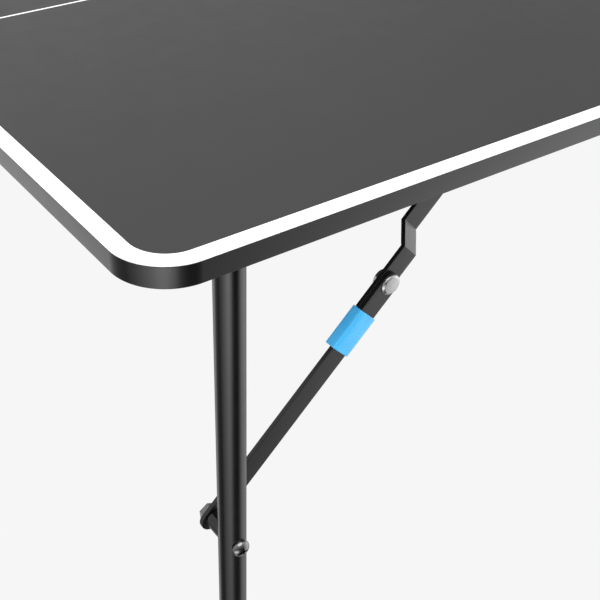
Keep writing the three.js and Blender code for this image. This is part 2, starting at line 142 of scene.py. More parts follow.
def arc(centre_xy, radius, start, end, steps):
    """Points of a circular arc, angles in degrees."""
    middle_x, middle_y = centre_xy
    points = []
    for i in range(steps + 1):
        angle = math.radians(start + (end - start) * i / steps)
        points.append((middle_x + radius * math.cos(angle), middle_y + radius * math.sin(angle)))
    return points


def rounded_box(half_x, half_y, radius, steps=6):
    """A box outline with round corners."""
    points = []
    for quarter, (sign_x, sign_y) in enumerate(((1, 1), (-1, 1), (-1, -1), (1, -1))):
        middle = (sign_x * (half_x - radius), sign_y * (half_y - radius))
        points += arc(middle, radius, 90 * quarter, 90 * quarter + 90, steps)
    return points


def crowned_box(half_x, half_y, squareness, steps=96):
    """A box outline with crowned sides and soft corners: the higher its squareness, the less."""
    points = []
    for x, y in arc((0, 0), 1, 0, 360, steps)[:-1]:
        reach = (abs(x) ** squareness + abs(y) ** squareness) ** (-1 / squareness)
        points.append((half_x * x * reach, half_y * y * reach))
    return points


def bar_outline(route, half, square=False, steps=14):
    """The outline of a flat bar along a route of points: round ends, or a square first one."""
    left, right = [], []
    for before, corner, after in zip(route, route[1:], route[2:]):
        back, ahead = (corner - before).normalized(), (after - corner).normalized()
        across = Vector((-back.y - ahead.y, back.x + ahead.x)).normalized()
        reach = half / across.dot(Vector((-back.y, back.x)))
        left.append(tuple(corner + across * reach))
        right.append(tuple(corner - across * reach))
    first, last = route[1] - route[0], route[-1] - route[-2]
    out = math.degrees(math.atan2(last.y, last.x))
    home = math.degrees(math.atan2(first.y, first.x))
    points = arc(route[-1], half, out - 90, out + 90, steps) + left[::-1]
    if not square:
        return points + arc(route[0], half, home + 90, home + 270, steps) + right
    along, across = first.normalized(), Vector((-first.y, first.x)).normalized()
    for side, start in ((1, 90), (-1, 180)):
        middle = route[0] + along * TAIL_CORNER + across * (side * (half - TAIL_CORNER))
        points += arc(middle, TAIL_CORNER, home + start, home + start + 90, 5)
    return points + right


def new_object(name, mesh):
    obj = bpy.data.objects.new(name, mesh)
    bpy.context.scene.collection.objects.link(obj)
    return obj


def mesh_from(bm, name):
    bmesh.ops.recalc_face_normals(bm, faces=bm.faces)
    mesh = bpy.data.meshes.new(name)
    bm.to_mesh(mesh)
    bm.free()
    return mesh


def plate_mesh(outline, thick, holes=(), edge=PLATE_EDGE):
    """A flat plate with rounded edges: its outline in local XY, its thickness across z = 0."""
    curve = bpy.data.curves.new("outline", "CURVE")
    curve.dimensions = "2D"
    curve.fill_mode = "BOTH"
    for loop in (outline, *holes):
        spline = curve.splines.new("POLY")
        spline.points.add(len(loop) - 1)
        for point, (x, y) in zip(spline.points, loop):
            point.co = (x, y, 0, 1)
        spline.use_cyclic_u = True
    curve.extrude = thick / 2 - edge
    curve.bevel_depth = edge
    curve.bevel_resolution = 1
    curve.offset = -edge
    obj = new_object("outline", curve)
    graph = bpy.context.evaluated_depsgraph_get()
    mesh = bpy.data.meshes.new_from_object(obj.evaluated_get(graph))
    bpy.data.objects.remove(obj)
    bpy.data.curves.remove(curve)
    bm = bmesh.new()
    bm.from_mesh(mesh)
    bpy.data.meshes.remove(mesh)
    bmesh.ops.remove_doubles(bm, verts=bm.verts, dist=1e-6)
    return mesh_from(bm, "plate")


def side_plate(outline, low, high, holes=(), edge=PLATE_EDGE):
    """A plate whose outline lies in the XZ plane, from y = low to y = high."""
    mesh = plate_mesh(outline, high - low, holes, edge)
    turn = Matrix.Rotation(math.pi / 2, 4, "X")
    mesh.transform(Matrix.Translation((0, (low + high) / 2, 0)) @ turn)
    return mesh


def end_plate(outline, low, high, holes=(), edge=PLATE_EDGE):
    """A plate whose outline lies in the YZ plane, from x = low to x = high."""
    mesh = plate_mesh(outline, high - low, holes, edge)
    turn = Matrix(((0, 0, 1, 0), (1, 0, 0, 0), (0, 1, 0, 0), (0, 0, 0, 1)))
    mesh.transform(Matrix.Translation(((low + high) / 2, 0, 0)) @ turn)
    return mesh


def flat_plate(outline, low, high, holes=(), edge=PLATE_EDGE):
    """A plate whose outline lies in the XY plane, from z = low to z = high."""
    mesh = plate_mesh(outline, high - low, holes, edge)
    mesh.transform(Matrix.Translation((0, 0, (low + high) / 2)))
    return mesh


def turned_mesh(profile, sides=48):
    """A profile of (radius, height) turned about Z; it closes on itself or on the axis."""
    bm = bmesh.new()
    angles = [2 * math.pi * i / sides for i in range(sides)]
    rings = []
    for radius, height in profile:
        if radius == 0:
            rings.append([bm.verts.new((0, 0, height))])
            continue
        spots = [(radius * math.cos(a), radius * math.sin(a), height) for a in angles]
        rings.append([bm.verts.new(spot) for spot in spots])
    closed = profile[0][0] > 0
    pairs = list(zip(rings, rings[1:])) + ([(rings[-1], rings[0])] if closed else [])
    for one, two in pairs:
        for i in range(sides):
            j = (i + 1) % sides
            corners = one[i % len(one)], one[j % len(one)], two[j % len(two)], two[i % len(two)]
            bm.faces.new(list(dict.fromkeys(corners)))
    return mesh_from(bm, "turned")


def stand(mesh, axis, place):
    """Turns a mesh made about Z so that it runs along +axis from a place."""
    turn = Vector((0, 0, 1)).rotation_difference(Vector(axis)).to_matrix().to_4x4()
    mesh.transform(Matrix.Translation(place) @ turn)
    return mesh


def joined(meshes):
    """The meshes as one; they are used up."""
    bm = bmesh.new()
    for mesh in meshes:
        bm.from_mesh(mesh)
        bpy.data.meshes.remove(mesh)
    mesh = bpy.data.meshes.new("joined")
    bm.to_mesh(mesh)
    bm.free()
    return mesh


def cut(mesh, tool):
    """The mesh with the tool's shape taken out of it."""
    body, cutter = new_object("body", mesh), new_object("cutter", tool)
    modifier = body.modifiers.new("cut", "BOOLEAN")
    modifier.operation = "DIFFERENCE"
    modifier.solver = "EXACT"
    modifier.object = cutter
    graph = bpy.context.evaluated_depsgraph_get()
    result = bpy.data.meshes.new_from_object(body.evaluated_get(graph))
    for obj in (body, cutter):
        used = obj.data
        bpy.data.objects.remove(obj)
        bpy.data.meshes.remove(used)
    return result


def sweep_mesh(route, radii, sides=8):
    """A closed ring of round sections along a closed route."""
    bm = bmesh.new()
    skew = Vector((0.31, 0.17, 0.93))  # along no part of the route
    angles = [2 * math.pi * k / sides for k in range(sides)]
    count = len(route)
    rings = []
    for i, (point, radius) in enumerate(zip(route, radii)):
        along = (route[(i + 1) % count] - route[i - 1]).normalized()
        side = along.cross(skew).normalized()
        up = along.cross(side)
        spots = [point + (side * math.cos(a) + up * math.sin(a)) * radius for a in angles]
        rings.append([bm.verts.new(spot) for spot in spots])
    for i in range(count):
        one, two = rings[i], rings[(i + 1) % count]
        for k in range(sides):
            bm.faces.new((one[k], one[(k + 1) % sides], two[(k + 1) % sides], two[k]))
    return mesh_from(bm, "sweep")


# ---- Materials -----------------------------------------------------------------------------


class Look:
    """A principled material and short ways to feed it from object coordinates."""

    def __init__(self, name, colour, roughness, metallic=0.0, **sockets):
        self.material = bpy.data.materials.new(name)
        self.material.use_nodes = True
        self.tree = self.material.node_tree
        self.shader = self.tree.nodes["Principled BSDF"]
        self.place = self.tree.nodes.new("ShaderNodeTexCoord").outputs["Object"]
        self.shader.inputs["Base Color"].default_value = (*colour, 1)
        self.shader.inputs["Roughness"].default_value = roughness
        self.shader.inputs["Metallic"].default_value = metallic
        for key, value in sockets.items():
            self.shader.inputs[key.replace("_", " ")].default_value = value
        self.colour = colour

    def noise(self, per_metre, detail=3):
        node = self.tree.nodes.new("ShaderNodeTexNoise")
        node.inputs["Scale"].default_value = per_metre
        node.inputs["Detail"].default_value = detail
        self.tree.links.new(self.place, node.inputs["Vector"])
        return node.outputs["Fac"]

    def spread(self, value, low, high):
        """Maps a noise onto low to high by the middle of its range, where most of it lies."""
        node = self.tree.nodes.new("ShaderNodeMapRange")
        limits = {"From Min": 0.3, "From Max": 0.7, "To Min": low, "To Max": high}
        for key, limit in limits.items():
            node.inputs[key].default_value = limit
        self.tree.links.new(value, node.inputs["Value"])
        return node.outputs["Result"]

    def vary_colour(self, value, other):
        node = self.tree.nodes.new("ShaderNodeMix")
        node.data_type = "RGBA"
        node.inputs["A"].default_value = (*self.colour, 1)
        node.inputs["B"].default_value = (*other, 1)
        self.tree.links.new(self.spread(value, 0, 1), node.inputs["Factor"])
        self.tree.links.new(node.outputs["Result"], self.shader.inputs["Base Color"])

    def vary_roughness(self, value, low, high):
        self.tree.links.new(self.spread(value, low, high), self.shader.inputs["Roughness"])

    def bump(self, value, depth, strength):
        node = self.tree.nodes.new("ShaderNodeBump")
        node.inputs["Strength"].default_value = strength
        node.inputs["Distance"].default_value = depth
        self.tree.links.new(value, node.inputs["Height"])
        self.tree.links.new(node.outputs["Normal"], self.shader.inputs["Normal"])


def playing_surface():
    look = Look("charcoal_surface", (0.041, 0.041, 0.0415), 0.36, Specular_IOR_Level=0.10)
    look.vary_colour(look.noise(3), (0.043, 0.043, 0.0435))
    look.vary_roughness(look.noise(40, detail=5), 0.33, 0.39)
    look.bump(look.noise(2600, detail=2), depth=0.02 * MM, strength=0.35)
    return look.material


def line_white():
    look = Look("line_white", (0.93, 0.93, 0.93), 0.45)
    look.vary_colour(look.noise(9), (0.90, 0.90, 0.895))
    look.vary_roughness(look.noise(60, detail=4), 0.40, 0.50)
    look.bump(look.noise(1800, detail=2), depth=0.02 * MM, strength=0.3)
    return look.material


def powder_coat(name, colour, low, high, grain=900):
    """Satin black; low and high bound its roughness."""
    look = Look(name, colour, (low + high) / 2)
    lighter = tuple(c * 1.25 for c in colour)
    look.vary_colour(look.noise(25, detail=4), lighter)
    look.vary_roughness(look.noise(60, detail=4), low, high)
    look.bump(look.noise(grain, detail=2), depth=0.03 * MM, strength=0.25)
    return look.material


def plated(name, colour, low, high):
    """Bright metal; low and high bound its roughness."""
    look = Look(name, colour, low, metallic=1.0)
    darker = tuple(c * 0.92 for c in colour)
    look.vary_colour(look.noise(120), darker)
    look.vary_roughness(look.noise(500), low, high)
    look.bump(look.noise(400, detail=2), depth=0.004 * MM, strength=0.15)
    return look.material


def moulded_blue():
    look = Look("sleeve_blue", (0.088, 0.55, 0.99), 0.26, IOR=1.46)
    look.vary_colour(look.noise(30), (0.066, 0.49, 0.99))
    look.vary_roughness(look.noise(120), 0.22, 0.30)
    look.bump(look.noise(160, detail=2), depth=0.02 * MM, strength=0.25)
    return look.material


def rubber():
    look = Look("foot_rubber", (0.016, 0.016, 0.017), 0.7)
    look.vary_colour(look.noise(90, detail=4), (0.026, 0.025, 0.025))
    look.vary_roughness(look.noise(400, detail=4), 0.6, 0.8)
    look.bump(look.noise(1500), depth=0.05 * MM, strength=0.5)
    return look.material


def woven(name, colour, other, thread):
    """Cloth in two close shades, with that many threads to the metre."""
    look = Look(name, colour, 0.85, Sheen_Weight=0.25)
    look.vary_colour(look.noise(thread / 3), other)
    weave = look.tree.nodes.new("ShaderNodeTexChecker")
    weave.inputs["Scale"].default_value = thread
    look.tree.links.new(look.place, weave.inputs["Vector"])
    look.bump(weave.outputs["Fac"], depth=0.1 * MM, strength=0.5)
    return look.material


MATERIALS = {
    "playing_surface": playing_surface(),
    "line_white": line_white(),
    "edge_band": powder_coat("edge_band_black", (0.0042, 0.0042, 0.0043), 0.18, 0.23, 1200),
    "tube_black": powder_coat("tube_black", (0.0038, 0.0038, 0.0039), 0.18, 0.23),
    "brace_steel": powder_coat("brace_black", (0.005, 0.005, 0.0051), 0.24, 0.30),
    "bracket_steel": powder_coat("bracket_black", (0.020, 0.020, 0.021), 0.36, 0.46),
    "hinge_steel": powder_coat("hinge_black", (0.020, 0.020, 0.021), 0.36, 0.46),
    "zinc_steel": plated("zinc_plate", (0.43, 0.43, 0.435), 0.20, 0.30),
    "dark_chrome": plated("dark_chrome", (0.19, 0.19, 0.195), 0.07, 0.12),
    "sleeve_blue": moulded_blue(),
    "foot_rubber": rubber(),
    "net_post_black": powder_coat("post_black", (0.017, 0.017, 0.018), 0.32, 0.42),
    "net_mesh": woven("net_thread", (0.02, 0.022, 0.026), (0.035, 0.037, 0.042), 1600),
    "net_tape_white": woven("net_tape", (0.86, 0.86, 0.84), (0.80, 0.80, 0.78), 1400),
}

# ---- Putting pieces on the frame -----------------------------------------------------------

SHARP_ANGLE = math.radians(50)


def piece(name, mesh, slot, body, *nodes, smooth=True):
    """A finished piece: its mesh, its material, the body it rides on, the nodes it stands for."""
    mesh.name = name
    mesh.materials.clear()
    mesh.materials.append(MATERIALS[slot])
    obj = new_object(name, mesh)
    if smooth:
        mesh.shade_smooth()
        mesh.set_sharp_from_angle(angle=SHARP_ANGLE)
        weighted = obj.modifiers.new("weighted_normals", "WEIGHTED_NORMAL")
        weighted.keep_sharp = True
    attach(obj, body)
    if nodes:
        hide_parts(*nodes)
    return obj


def at_corner(mesh, x_sign, y_sign):
    """Moves a mesh made in the corner frame to the corner at that end and side."""
    mirror = Matrix.Diagonal((-x_sign, -y_sign, 1, 1))
    mesh.transform(Matrix.Translation((x_sign * HALF_LENGTH, y_sign * HALF_WIDTH, 0)) @ mirror)
    if x_sign * y_sign < 0:
        mesh.flip_normals()
    return mesh


# ---- The top -------------------------------------------------------------------------------


def u_outline(inset, steps=32):
    """The open outline of the half top at end a, from the joint round both corners and back."""
    radius = CORNER_RADIUS - inset
    middle_x = CORNER_RADIUS - HALF_LENGTH
    middle_y = HALF_WIDTH - CORNER_RADIUS
    points = [(JOINT_EDGE, HALF_WIDTH - inset)]
    points += arc((middle_x, middle_y), radius, 90, 180, steps)
    points += arc((middle_x, -middle_y), radius, 180, 270, steps)
    return points + [(JOINT_EDGE, inset - HALF_WIDTH)]


def build_top():
    for end, x_sign in ENDS:
        for node, slot in (("board", "playing_surface"), ("line_marking", "line_white")):
            dress(f"{node}_{end}", slot)
        ribbon = u_outline(0) + u_outline(BAND_WALL)[::-1]
        band = flat_plate(ribbon, UNDERSIDE, BAND_TOP, edge=0.7 * MM)
        if x_sign > 0:
            band.transform(Matrix.Diagonal((-1, 1, 1, 1)))
            band.flip_normals()
        piece(f"band_{end}", band, "edge_band", f"half_{end}", f"edge_band_{end}")


def dress(node, slot):
    """Gives a CAD node its material."""
    for holder in frame["nodes"][node].material_slots:
        holder.material = MATERIALS[slot]


# ---- Fasteners -----------------------------------------------------------------------------


def screw_mesh(radius, height, depth, rim_share=0.3, steps=10):
    """A domed screw head with a cross recess, its seat at z = 0 and its shank that deep."""
    rim, shank = rim_share * height, radius * 0.45
    profile = [(0, -depth), (shank, -depth), (shank, 0), (radius * 0.97, 0), (radius, rim / 2)]
    for i in range(steps):
        angle = math.pi / 2 * i / steps
        profile.append((radius * math.cos(angle), rim + (height - rim) * math.sin(angle)))
    profile.append((0, height))
    head = turned_mesh(profile)
    arm, width = radius * 0.40, radius * 0.10
    cross = [
        (arm, -width), (arm, width), (width, width),
        (width, arm), (-width, arm), (-width, width),
        (-arm, width), (-arm, -width), (-width, -width),
        (-width, -arm), (width, -arm), (width, -width),
    ]
    recess = flat_plate(cross, height * 0.45, height * 1.4, edge=0.02 * MM)
    return cut(head, recess)


SCREW = screw_mesh(radius=4 * MM, height=2.4 * MM, depth=1.5 * MM)


def screws(places):
    """Small screws driven up into the underside at places, in one mesh."""
    return joined([stand(SCREW.copy(), (0, 0, -1), place) for place in places])


def nut_mesh(flats, height, bore):
    """A hexagon nut with chamfered corners, from z = 0 up, with the bolt's end in it."""
    hexagon = arc((0, 0), flats / math.sqrt(3), 0, 300, 5)
    nut = flat_plate(hexagon, 0, height, edge=0.5 * MM)
    start, reach, turns = height * 0.5, height + 2.2 * MM, 5
    pitch = (reach - start) / turns
    profile = [(0, -1 * MM), (bore, -1 * MM)]
    for i in range(turns):
        z = start + (reach - start) * i / turns
        profile += [(bore, z + pitch * 0.3), (bore * 0.86, z + pitch * 0.8)]
    profile += [(bore * 0.8, reach), (0, reach)]
    return joined([nut, turned_mesh(profile, PIN_SIDES)])


def headed_pin(low, high, grip_low, grip_high, face, bevel):
    """A pin with a head at each end, from low to high about Z; its grip lies between them."""
    lip = 0.2 * MM
    return turned_mesh([
        (0, low), (face, low + lip), (PIN_HEAD, low + bevel),
        (PIN_HEAD, grip_low), (PIN_RADIUS, grip_low),
        (PIN_RADIUS, grip_high), (PIN_HEAD, grip_high),
        (PIN_HEAD, high - bevel), (face, high - lip), (0, high),
    ], PIN_SIDES)


# ---- The leg frames ------------------------------------------------------------------------


def at_leg(mesh, x_sign, y_sign):
    """Moves a mesh made about Z to the leg at that end and side."""
    mesh.transform(Matrix.Translation((LEG.x, LEG.y, 0)))
    return at_corner(mesh, x_sign, y_sign)


def build_leg(end, side, x_sign, y_sign):
    body = f"leg_frame_{end}"
    tag = f"{end}_{side}"
    lip = 0.4 * MM
    inner = TUBE_RADIUS - TUBE_WALL
    leg = turned_mesh([
        (inner, LEG_BOTTOM), (TUBE_RADIUS - lip, LEG_BOTTOM), (TUBE_RADIUS, LEG_BOTTOM + lip),
        (TUBE_RADIUS, LEG_TOP - lip), (TUBE_RADIUS - lip, LEG_TOP), (inner, LEG_TOP),
    ], FINE_SIDES)
    piece(f"leg_tube_{tag}", at_leg(leg, x_sign, y_sign), "tube_black", body, f"leg_{tag}")

    plug = LEG_TOP - 8 * MM
    cap = turned_mesh([
        (0, plug), (inner, plug), (inner, LEG_TOP),
        (TUBE_RADIUS - 1 * MM, LEG_TOP), (TUBE_RADIUS - 1.6 * MM, LEG_TOP + 0.8 * MM),
        (TUBE_RADIUS * 0.5, LEG_TOP + 1.2 * MM), (0, LEG_TOP + 1.3 * MM),
    ])
    piece(f"leg_cap_{tag}", at_leg(cap, x_sign, y_sign), "foot_rubber", body)
    foot = at_leg(foot_mesh(f"foot_{tag}"), x_sign, y_sign)
    piece(f"foot_cap_{tag}", foot, "foot_rubber", body, f"foot_{tag}")
    piece(f"weld_beads_{tag}", at_corner(weld_mesh(), x_sign, y_sign), "tube_black", body)


def foot_mesh(node):
    """A cup for the end of the leg, with three grooves round it."""
    low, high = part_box(node)
    radius, height = (high[0] - low[0]) / 2, high[2]
    bore = TUBE_RADIUS + FIT_GAP
    groove = 0.5 * MM
    profile = [(0, 0), (radius - 2.4 * MM, 0), (radius - 0.8 * MM, 0.6 * MM), (radius, 2.4 * MM)]
    for z in (8 * MM, 12 * MM, 16 * MM):
        profile += [(radius, z - 2 * groove), (radius - groove, z - groove)]
        profile += [(radius - groove, z + groove), (radius, z + 2 * groove)]
    profile += [(radius, height - 2 * MM), (radius - 0.8 * MM, height - 0.4 * MM)]
    profile += [(bore + 0.5 * MM, height), (bore, height - 0.6 * MM)]
    profile += [(bore, LEG_BOTTOM), (0, LEG_BOTTOM)]
    return turned_mesh(profile, FINE_SIDES)


def weld_mesh():
    """The bead where the pivot tube meets the leg, rippled as it was laid."""
    bead, ripple, drift, out = 1.5 * MM, 0.18 * MM, 0.1 * MM, 0.4 * MM
    ripples, drifts, steps = 34, 5, 160
    route, radii = [], []
    for i in range(steps):
        angle = 2 * math.pi * i / steps
        x = LEG.x + TUBE_RADIUS * math.cos(angle)
        y = LEG.y + TUBE_RADIUS * abs(math.sin(angle)) + out
        route.append(Vector((x, y, PIVOT_Z + TUBE_RADIUS * math.sin(angle))))
        waves = ripple * math.sin(angle * ripples) + drift * math.sin(angle * drifts + 1)
        radii.append(bead + waves)
    return sweep_mesh(route, radii)


def build_pivot_tube(end, x_sign):
    reach = HALF_WIDTH - LEG.y
    inner = TUBE_RADIUS - TUBE_WALL
    wall = [(inner, -reach), (TUBE_RADIUS, -reach), (TUBE_RADIUS, reach), (inner, reach)]
    tube = turned_mesh(wall, FINE_SIDES)
    cope, half = TUBE_RADIUS - FIT_GAP, 30 * MM
    legs = []
    for sign in (-1, 1):
        leg = turned_mesh([(0, -half), (cope, -half), (cope, half), (0, half)], FINE_SIDES)
        legs.append(stand(leg, (0, 1, 0), (0, 0, sign * reach)))
    tube = cut(tube, joined(legs))
    stand(tube, (0, 1, 0), (x_sign * (HALF_LENGTH - LEG.x), 0, PIVOT_Z))
    piece(f"pivot_bar_{end}", tube, "tube_black", f"leg_frame_{end}", f"pivot_tube_{end}")


def build_bolt(end, side, x_sign, y_sign):
    tag = f"{end}_{side}"
    body = f"leg_frame_{end}"
    sunk, shank = 0.4 * MM, 4 * MM  # into the round side of the leg
    seat = LEG.y - TUBE_RADIUS + sunk
    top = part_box(f"brace_bolt_{tag}")[0 if y_sign < 0 else 1][1]
    height = seat - (HALF_WIDTH - abs(top))
    head = screw_mesh(BOLT_HEAD, height, shank, rim_share=0.16)
    stand(head, (0, -1, 0), (LEG.x, seat, BOLT.z))
    head = at_corner(head, x_sign, y_sign)
    piece(f"bolt_head_{tag}", head, "dark_chrome", body, f"brace_bolt_{tag}")

    start = LEG.y + TUBE_RADIUS * 0.5  # inside the leg, so that no gap shows round its side
    length = BAR_Y - FIT_GAP - start
    bevel = 0.8 * MM
    spacer = turned_mesh([
        (PIN_RADIUS, 0), (SPACER_RADIUS, 0), (SPACER_RADIUS, length - bevel),
        (SPACER_RADIUS - 0.3 * MM, length - 0.2 * MM), (SPACER_RADIUS - bevel, length),
        (PIN_RADIUS, length),
    ])
    stand(spacer, (0, 1, 0), (LEG.x, start, BOLT.z))
    spacer = at_corner(spacer, x_sign, y_sign)
    piece(f"spacer_{tag}", spacer, "tube_black", body, f"bolt_spacer_{tag}")


# ---- The braces ----------------------------------------------------------------------------


def pin_hole(point):
    """The outline of a hole that a pin turns in."""
    return arc(point, PIN_RADIUS + FIT_GAP, 0, 345, 23)


def joggle(distance):
    """The upper bar's inward offset at a distance up the brace line, and its slope there."""
    height = TOP_BAR_Y - UPPER_Y
    slope = height / JOGGLE_RUN
    start, bend = LOWER_REACH + JOGGLE_START, JOGGLE_BEND
    if distance <= start - bend:
        return 0, 0
    if distance >= start + JOGGLE_RUN + bend:
        return height, 0
    if distance < start + bend:
        t = distance - start + bend
        return slope * t * t / (4 * bend), slope * t / (2 * bend)
    if distance > start + JOGGLE_RUN - bend:
        t = start + JOGGLE_RUN + bend - distance
        return height - slope * t * t / (4 * bend), slope * t / (2 * bend)
    return slope * (distance - start), slope


def upper_bar_mesh():
    tail = on_brace(LOWER_REACH - TAIL_REACH)
    kink = on_brace(LOWER_REACH + KINK_REACH)
    outline = bar_outline([tail, kink, PIVOT_XZ], BAR_HALF, square=True)
    mesh = side_plate(outline, 0, BAR_THICK, [pin_hole(KNEE_XZ), pin_hole(PIVOT_XZ)])
    bm = bmesh.new()
    bm.from_mesh(mesh)
    along = Vector((BRACE_ALONG.x, 0, BRACE_ALONG.y))
    bolt = Vector((BOLT_XZ.x, 0, BOLT_XZ.y))
    start = LOWER_REACH + JOGGLE_START
    for bend in (start, start + JOGGLE_RUN):
        for step in (-1, -0.5, 0, 0.5, 1):
            everything = bm.verts[:] + bm.edges[:] + bm.faces[:]
            middle = bolt + along * (bend + step * JOGGLE_BEND)
            bmesh.ops.bisect_plane(bm, geom=everything, plane_co=middle, plane_no=along)
    for vertex in bm.verts:
        offset, slope = joggle((vertex.co - bolt).dot(along))
        across = (vertex.co.y - BAR_THICK / 2) * math.sqrt(1 + slope * slope)
        vertex.co.y = UPPER_Y + BAR_THICK / 2 + across + offset
    bm.to_mesh(mesh)
    bm.free()
    return mesh


def rivet_mesh(low, high):
    """The knee rivet, from low to high about Z: a head on each side of the two bars."""
    inner_seat = UPPER_Y + BAR_THICK + FIT_GAP
    # The rim of a head: a share of its radius, and millimetres in from its face.
    edge = [(1, 2.2), (0.99, 1.7), (0.95, 1.1), (0.8, 0.2), (0.76, 0)]
    rim = [(RIVET_HEAD * share, depth * MM) for share, depth in edge]
    profile = [(0, low)] + [(radius, low + depth) for radius, depth in rim[::-1]]
    profile += [(RIVET_HEAD, BAR_Y), (PIN_RADIUS, BAR_Y)]
    profile += [(PIN_RADIUS, inner_seat), (RIVET_HEAD, inner_seat)]
    profile += [(radius, high - depth) for radius, depth in rim] + [(0, high)]
    return turned_mesh(profile, FINE_SIDES)


def sleeve_mesh():
    """The lock sleeve, a moulded box tube round the bars."""
    bars_depth = 2 * BAR_THICK + FIT_GAP
    bore_half = SLEEVE_HALF - SLEEVE_WALL
    ring = crowned_box(SLEEVE_HALF, SLEEVE_DEPTH / 2, SLEEVE_SQUARENESS)
    bore = rounded_box(bore_half, bars_depth / 2 + SLEEVE_PLAY, SLEEVE_BORE_CORNER)
    sleeve = plate_mesh(ring, SLEEVE_LENGTH, [bore])
    middle = on_brace(SLEEVE_CENTRE)
    sleeve.transform(Matrix((
        (BRACE_UP.x, 0, -BRACE_ALONG.x, middle.x),
        (0, 1, 0, BAR_Y + bars_depth / 2),
        (BRACE_UP.y, 0, -BRACE_ALONG.y, middle.y),
        (0, 0, 0, 1),
    )))
    return sleeve


def build_brace(end, side, x_sign, y_sign):
    tag = f"{end}_{side}"
    lower_body, upper_body = f"lower_brace_{tag}", f"upper_brace_{tag}"

    outline = bar_outline([on_brace(-BOLT_END), KNEE_XZ], BAR_HALF)
    lower = side_plate(outline, BAR_Y, BAR_Y + BAR_THICK, [pin_hole(KNEE_XZ)])
    lower = at_corner(lower, x_sign, y_sign)
    piece(f"lower_brace_bar_{tag}", lower, "brace_steel", lower_body, f"lower_bar_{tag}")
    upper = at_corner(upper_bar_mesh(), x_sign, y_sign)
    piece(f"upper_brace_bar_{tag}", upper, "brace_steel", upper_body, f"upper_bar_{tag}")

    nut = nut_mesh(NUT_FLATS, NUT_HEIGHT, PIN_RADIUS)
    nut.transform(Matrix.Rotation(math.radians(NUT_TURN), 4, "Z"))
    stand(nut, (0, 1, 0), (BOLT.x, BAR_Y + BAR_THICK, BOLT.z))
    piece(f"brace_nut_{tag}", at_corner(nut, x_sign, y_sign), "dark_chrome", lower_body)

    low, high = (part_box(f"knee_rivet_{tag}")[i][1] for i in (0, 1))
    if y_sign > 0:
        low, high = -high, -low
    rivet = rivet_mesh(low + HALF_WIDTH, high + HALF_WIDTH)
    stand(rivet, (0, 1, 0), (KNEE.x, 0, KNEE.z))
    rivet = at_corner(rivet, x_sign, y_sign)
    piece(f"rivet_{tag}", rivet, "zinc_steel", lower_body, f"knee_rivet_{tag}")

    sleeve = at_corner(sleeve_mesh(), x_sign, y_sign)
    piece(f"sleeve_{tag}", sleeve, "sleeve_blue", f"sleeve_{tag}", f"lock_sleeve_{tag}")


# ---- Brackets under the board --------------------------------------------------------------


def build_brackets(end, side, x_sign, y_sign):
    tag = f"{end}_{side}"
    body = f"half_{end}"
    near, far = (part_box(f"saddle_{tag}")[i][1] * y_sign for i in (0, 1))
    near, far = sorted((HALF_WIDTH - near, HALF_WIDTH - far))
    thick, clearance, reach, corner = 2 * MM, 0.8 * MM, 34 * MM, 4 * MM
    inner = TUBE_RADIUS + clearance
    outer = inner + thick
    low = UNDERSIDE - thick
    strap = [(LEG.x - reach, UNDERSIDE), (LEG.x - reach, low), (LEG.x - outer, low)]
    strap += arc((LEG.x, PIVOT_Z), outer, 180, 360, 28)
    strap += [(LEG.x + outer, low), (LEG.x + reach, low)]
    strap += [(LEG.x + reach, UNDERSIDE), (LEG.x + inner, UNDERSIDE)]
    strap += arc((LEG.x, PIVOT_Z), inner, 360, 180, 28) + [(LEG.x - inner, UNDERSIDE)]
    saddle = at_corner(side_plate(strap, near, far), x_sign, y_sign)
    piece(f"saddle_strap_{tag}", saddle, "bracket_steel", body, f"saddle_{tag}")

    plate, gap, drop, half = 2.5 * MM, 0.6 * MM, 11 * MM, 13 * MM
    ear_in, ear_out = TOP_BAR_Y - gap, TOP_BAR_Y + BAR_THICK + gap
    root = UNDERSIDE - plate / 2
    ear = [(PIVOT_XZ.x + half, root), (PIVOT_XZ.x - half, root)]
    ear += arc((PIVOT_XZ.x, PIVOT_Z), drop, 190, 350, 20)
    spans = ((ear_in - plate, ear_in), (ear_out, ear_out + plate))
    ears = [side_plate(ear, inside, outside) for inside, outside in spans]
    middle_y = (ear_in + ear_out) / 2
    base_half_y = (ear_out - ear_in) / 2 + plate + 3 * MM
    base = flat_plate(rounded_box(reach, base_half_y, corner), UNDERSIDE - plate, UNDERSIDE)
    base.transform(Matrix.Translation((PIVOT_XZ.x, middle_y, 0)))
    bracket = at_corner(joined(ears + [base]), x_sign, y_sign)
    piece(f"bracket_{tag}", bracket, "bracket_steel", body, f"brace_bracket_{tag}")

    grip_low, grip_high = ear_in - plate, ear_out + plate
    ends = ear_in - 2 * plate, ear_out + 2 * plate
    pin = headed_pin(*ends, grip_low, grip_high, face=5 * MM, bevel=1.2 * MM)
    stand(pin, (0, 1, 0), (PIVOT_XZ.x, 0, PIVOT_Z))
    piece(f"brace_pin_{tag}", at_corner(pin, x_sign, y_sign), "zinc_steel", body)

    inset, saddle_reach, bracket_reach = 11 * MM, 24 * MM, 25 * MM
    places = []
    for sign in (-1, 1):
        for y in (near + inset, far - inset):
            places.append((LEG.x + sign * saddle_reach, y, low))
        places.append((PIVOT_XZ.x + sign * bracket_reach, middle_y, UNDERSIDE - plate))
    heads = at_corner(screws(places), x_sign, y_sign)
    piece(f"bracket_screws_{tag}", heads, "zinc_steel", body)


# ---- The middle hinges ---------------------------------------------------------------------


